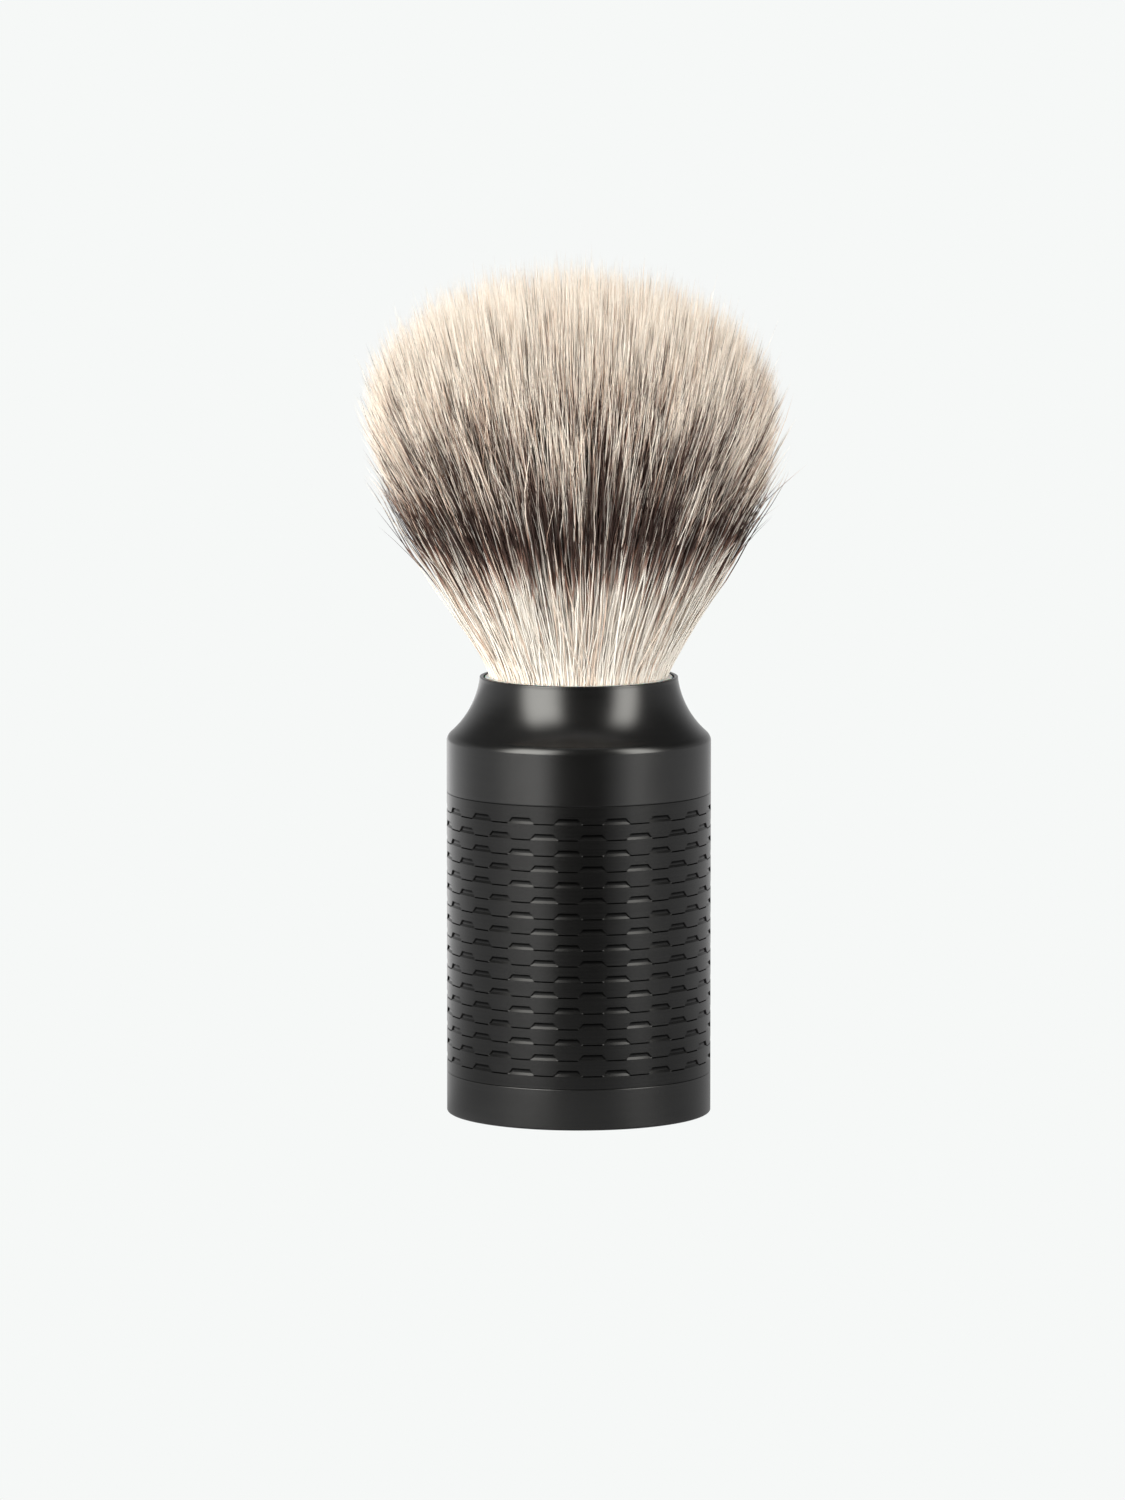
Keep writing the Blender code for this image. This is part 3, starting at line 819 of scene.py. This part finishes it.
def fibres(mat):
    """The whole tuft, cut into locks like slices of a cake, each one piece."""
    rng = np.random.default_rng(SEED)
    paths, azimuth, outer, tuft = fibre_paths(rng)
    n = FIBRES
    steps = np.linalg.norm(np.diff(paths, axis=1), axis=2)
    travelled = np.concatenate([np.zeros((n, 1)), np.cumsum(steps, axis=1)], axis=1)
    along = (travelled - (LIP_Z - ROOT_Z)) / MM
    flat = np.ones((1, FIBRE_POINTS))
    # ahead is 1 for fibres in front and behind, and 0 at the sides
    ahead = np.abs(np.sin(azimuth))
    often_late = (BAND_LATE_OFTEN - BAND_LATE_OUTER * outer) * (0.4 + 0.6 * ahead)
    late = (rng.random(n) < often_late) * rng.uniform(*BAND_LATE_BY, n)
    starts = BAND_START + rng.normal(0, BAND_START_SPREAD, n)
    starts += rng.normal(0, BAND_START_TUFTS, TUFTS)[tuft]
    ends = BAND_END + BAND_END_AHEAD * ahead - BAND_END_OUTER * outer + late
    ends += rng.normal(0, BAND_END_SPREAD, n) + rng.normal(0, BAND_END_TUFTS, TUFTS)[tuft]
    tone = rng.random(n) * (1.0 - TONE_TUFTS) + rng.random(TUFTS)[tuft] * TONE_TUFTS
    undyed = rng.random(n) < UNDYED_OFTEN
    values = {
        "along": along,
        "low": starts[:, None] * flat,
        "high": ends[:, None] * flat,
        "dye": np.where(undyed, rng.uniform(*UNDYED_DYE, n), 1.0)[:, None] * flat,
        "tone": tone[:, None] * flat,
    }
    values = {key: per_vertex(value) for key, value in values.items()}
    spin = rng.uniform(0, math.tau, n)
    radius = FIBRE_R * rng.normal(1, FIBRE_R_SPREAD, n)
    points = fibre_tubes(paths, spin, radius)
    sector = (azimuth % math.tau / math.tau * LOCKS).astype(int) % LOCKS
    made = []
    for k in range(LOCKS):
        mine = sector == k
        share = {key: value[mine] for key, value in values.items()}
        ob = fibre_mesh(f"fibre_lock_{k + 1:02d}", points[mine], share, mat)
        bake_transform(ob)
        made.append(ob)
    for ob in made:
        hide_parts("fibre_root", "fibre_crown")


# ---------------------------------------------------------------- hidden parts
def finish_hidden_parts():
    """Better materials for the CAD nodes that stay."""
    rubber = plain_grain("seal_rubber", (0.035, 0.035, 0.035), (0.02, 0.02, 0.02), 0.7)
    tube = plain_grain("tube_metal", (0.75, 0.76, 0.77), (0.6, 0.61, 0.62), 0.35, 1.0)
    brass = plain_grain("machined_brass", (0.83, 0.64, 0.3), (0.66, 0.48, 0.2), 0.3, 1.0)
    resin = plain_grain("cast_resin", (0.72, 0.6, 0.38), (0.6, 0.48, 0.28), 0.2)
    cord = plain_grain("wound_cord", (0.72, 0.67, 0.58), (0.5, 0.45, 0.38), 0.85, scale=2500.0)
    finishes = {
        "foot_pad": rubber,
        "lower_seal_ring": rubber,
        "upper_seal_ring": rubber,
        "head_washer": rubber,
        "core_tube": tube,
        "thread_insert": brass,
        "threaded_stud": brass,
        "resin_plug": resin,
        "knot_binding": cord,
    }
    for name, mat in finishes.items():
        for slot in frame["nodes"][name].material_slots:
            slot.material = mat


# ---------------------------------------------------------------- stage
def glow_material(name):
    """A bare emission material, and its colour socket."""
    mat, nodes, links, shader = new_material(name)
    nodes.remove(shader)
    glow = node(nodes, "ShaderNodeEmission", Strength=1.0)
    links.new(glow.outputs[0], nodes["Material Output"].inputs["Surface"])
    return mat, nodes, links, glow.inputs["Color"]


def floor_disc(name, z, mat):
    """A wide disc that isn't part of the brush."""
    steps = 96
    verts = []
    for k in range(steps):
        a = math.tau * k / steps
        verts.append((FLOOR_R * math.cos(a), FLOOR_R * math.sin(a), z))
    ob = mesh_object(name, verts, [tuple(range(steps))], mat, None)
    return ob


def window(nodes, links, value, limits, soft):
    """1 while value is between the two limits, with a soft edge at each end."""
    edges = []
    for at, rising in zip(limits, (True, False)):
        n = nodes.new("ShaderNodeMapRange")
        n.interpolation_type = "SMOOTHSTEP"
        n.inputs["From Min"].default_value = at - soft
        n.inputs["From Max"].default_value = at + soft
        n.inputs["To Min"].default_value = 0.0 if rising else 1.0
        n.inputs["To Max"].default_value = 1.0 if rising else 0.0
        links.new(value, n.inputs["Value"])
        edges.append(n.outputs[0])
    return maths(nodes, links, "MULTIPLY", edges[0], edges[1])


def blended(nodes, links, share, a, b):
    """a where share is 0 and b where it is 1."""
    rest = maths(nodes, links, "SUBTRACT", 1.0, share)
    kept = maths(nodes, links, "MULTIPLY", a, rest)
    return maths(nodes, links, "MULTIPLY_ADD", b, share, kept)


def bearing(nodes, links, vector):
    """Degrees round Z, 0 on the viewer's side and positive to the right, and the split vector."""
    split = node(nodes, "ShaderNodeSeparateXYZ")
    links.new(vector, split.inputs[0])
    front = maths(nodes, links, "MULTIPLY", split.outputs["Y"], -1.0)
    turn = maths(nodes, links, "ARCTAN2", split.outputs["X"], front)
    return maths(nodes, links, "MULTIPLY", turn, 180 / math.pi), split


def floor():
    """White paper, which the camera sees evenly lit.

    The brush sees it dim in front of itself and at its right, and brighter under the softboxes.
    This is a hidden glowing disc, a painted light, with painted shade close around the brush.
    """
    seen, _, _, colour = glow_material("paper")
    colour.default_value = (*PAPER, 1.0)
    sheet = floor_disc("floor", -0.03 * MM, seen)
    sheet.visible_glossy = False
    sheet.visible_diffuse = False
    sheet.visible_shadow = False

    lit, nodes, links, colour = glow_material("paper_as_lit")
    place = node(nodes, "ShaderNodeTexCoord").outputs["Object"]
    degrees, _ = bearing(nodes, links, place)
    reach = node(nodes, "ShaderNodeVectorMath", operation="LENGTH")
    links.new(place, reach.inputs[0])
    near = window(nodes, links, reach.outputs["Value"], NEAR_REACH, soft=0.055)
    front = window(nodes, links, degrees, FLOOR_DARK, soft=14.0)
    # painted shade: away from the front, the paper glows dimmer within NEAR_REACH of the brush's
    # axis, where its shadow falls
    open_floor = maths(nodes, links, "MULTIPLY_ADD", near, FLOOR_NEAR - FLOOR_FAR, FLOOR_FAR)
    sides = 1.0
    for limits, soft, change in (
        (FLOOR_RIGHT, 20.0, -RIGHT_DIMMER),
        (FLOOR_LEFT, 18.0, -LEFT_DIMMER),
        (FLOOR_LEFT_BACK, 18.0, LEFT_BACK_LIGHT),
    ):
        side = window(nodes, links, degrees, limits, soft)
        sides = maths(nodes, links, "MULTIPLY_ADD", side, change, sides)
    open_floor = maths(nodes, links, "MULTIPLY", open_floor, sides)
    front_floor = maths(nodes, links, "MULTIPLY", near, FLOOR_FRONT)
    total = blended(nodes, links, front, open_floor, front_floor)
    away = window(nodes, links, reach.outputs["Value"], SPILL_REACH, soft=0.02)
    for limits in (SPILL_LEFT, SPILL_RIGHT):
        spill = window(nodes, links, degrees, limits, soft=9.0)
        spill = maths(nodes, links, "MULTIPLY", spill, away)
        total = maths(nodes, links, "MULTIPLY_ADD", spill, FLOOR_SPILL, total)
    links.new(total, colour)
    # the lit paper's glow, seen only by the brush: painted light
    lit_paper_glow = floor_disc("floor_light", -0.02 * MM, lit)
    lit_paper_glow.visible_camera = False
    lit_paper_glow.visible_shadow = False


def world():
    """White paper to the camera, and to the brush a studio.

    It has two tall softboxes, pale walls, a dark front, and a pale patch overhead.
    """
    made = bpy.data.worlds.new("studio")
    bpy.context.scene.world = made
    made.use_nodes = True
    nodes = made.node_tree.nodes
    links = made.node_tree.links
    place = node(nodes, "ShaderNodeTexCoord").outputs["Generated"]
    degrees, split = bearing(nodes, links, place)
    slope = maths(nodes, links, "ARCSINE", split.outputs["Z"])
    rise = maths(nodes, links, "MULTIPLY", slope, 180 / math.pi)
    tall = window(nodes, links, rise, BOX_RISE, soft=12.0)
    left = window(nodes, links, degrees, BOX_LEFT, soft=10.0)
    left = maths(nodes, links, "MULTIPLY", left, tall)
    right = window(nodes, links, degrees, BOX_RIGHT, soft=9.0)
    right = maths(nodes, links, "MULTIPLY", right, tall)
    right = maths(nodes, links, "MULTIPLY", right, BOX_LIGHT[1])
    boxes = maths(nodes, links, "MULTIPLY_ADD", left, BOX_LIGHT[0], right)
    front = window(nodes, links, degrees, DARK_FRONT, soft=9.0)
    low = window(nodes, links, rise, WALL_RISE, soft=14.0)
    drop = WALL_LIGHT - WALL_LIGHT_HIGH
    wall_light = maths(nodes, links, "MULTIPLY_ADD", low, drop, WALL_LIGHT_HIGH)
    right_side = window(nodes, links, degrees, WALL_RIGHT, soft=25.0)
    dimmed = maths(nodes, links, "MULTIPLY_ADD", right_side, -RIGHT_DIMMER, 1.0)
    wall_light = maths(nodes, links, "MULTIPLY", wall_light, dimmed)
    walls = blended(nodes, links, front, wall_light, 0.0)
    high = window(nodes, links, rise, OVERHEAD_RISE, soft=7.0)
    forward = window(nodes, links, degrees, OVERHEAD_TURN, soft=20.0)
    overhead = maths(nodes, links, "MULTIPLY", high, forward)
    walls = maths(nodes, links, "MULTIPLY_ADD", overhead, OVERHEAD_LIGHT, walls)
    walls = maths(nodes, links, "ADD", walls, GLIMMER)
    in_box = maths(nodes, links, "GREATER_THAN", boxes, 0.3)
    warm = node(nodes, "ShaderNodeMix", data_type="RGBA", blend_type="MIX")
    links.new(in_box, warm.inputs[0])
    warm.inputs[6].default_value = (*WHITE, 1.0)
    warm.inputs[7].default_value = (*BOX_TINT, 1.0)
    lit = nodes["Background"]
    links.new(warm.outputs[2], lit.inputs["Color"])
    links.new(maths(nodes, links, "ADD", boxes, walls), lit.inputs["Strength"])
    seen = node(nodes, "ShaderNodeBackground", Strength=1.0)
    seen.inputs["Color"].default_value = (*PAPER, 1.0)
    which = node(nodes, "ShaderNodeLightPath").outputs["Is Camera Ray"]
    mix = node(nodes, "ShaderNodeMixShader")
    links.new(which, mix.inputs[0])
    links.new(lit.outputs[0], mix.inputs[1])
    links.new(seen.outputs[0], mix.inputs[2])
    links.new(mix.outputs[0], nodes["World Output"].inputs["Surface"])


def fill_light(name, power, place, turn):
    """A large soft light. It lights the fibres and makes no reflection in the black parts."""
    data = bpy.data.lights.new(name, "AREA")
    data.shape = "RECTANGLE"
    data.size = 0.7
    data.size_y = 0.35
    data.energy = power
    ob = bpy.data.objects.new(name, data)
    ob.location = place
    ob.rotation_euler = (math.pi / 2, 0.0, turn)
    ob.visible_glossy = False
    ob.visible_camera = False
    bpy.context.scene.collection.objects.link(ob)


def camera():
    """A long lens, a metre away and a little above the brush."""
    data = bpy.data.cameras.new("camera")
    data.sensor_fit = "VERTICAL"
    data.sensor_height = SENSOR_MM
    data.lens = LENS_MM
    data.clip_start = 0.05
    data.clip_end = 60.0
    ob = bpy.data.objects.new("camera", data)
    ob.location = CAMERA_AT
    ob.rotation_euler = (math.pi / 2 - CAMERA_DOWN, 0.0, 0.0)
    bpy.context.scene.collection.objects.link(ob)
    bpy.context.scene.camera = ob


bpy.context.scene.view_settings.view_transform = "Standard"
camera()
world()
floor()
fill_light("front_fill", FRONT_POWER, FRONT_AT, 0.0)
fill_light("back_fill", BACK_POWER, BACK_AT, math.pi)
coat = turned_black("black_coat", 0.24, 1.0)
sleeve_coat = turned_black("sleeve_coat", 0.24, 0.64, has_grooves=True)
collar_skin(coat)
base_skin(coat)
grip_sleeve(sleeve_coat)
cup_skin(cup_plastic())
fibres(fibre_material())
finish_hidden_parts()
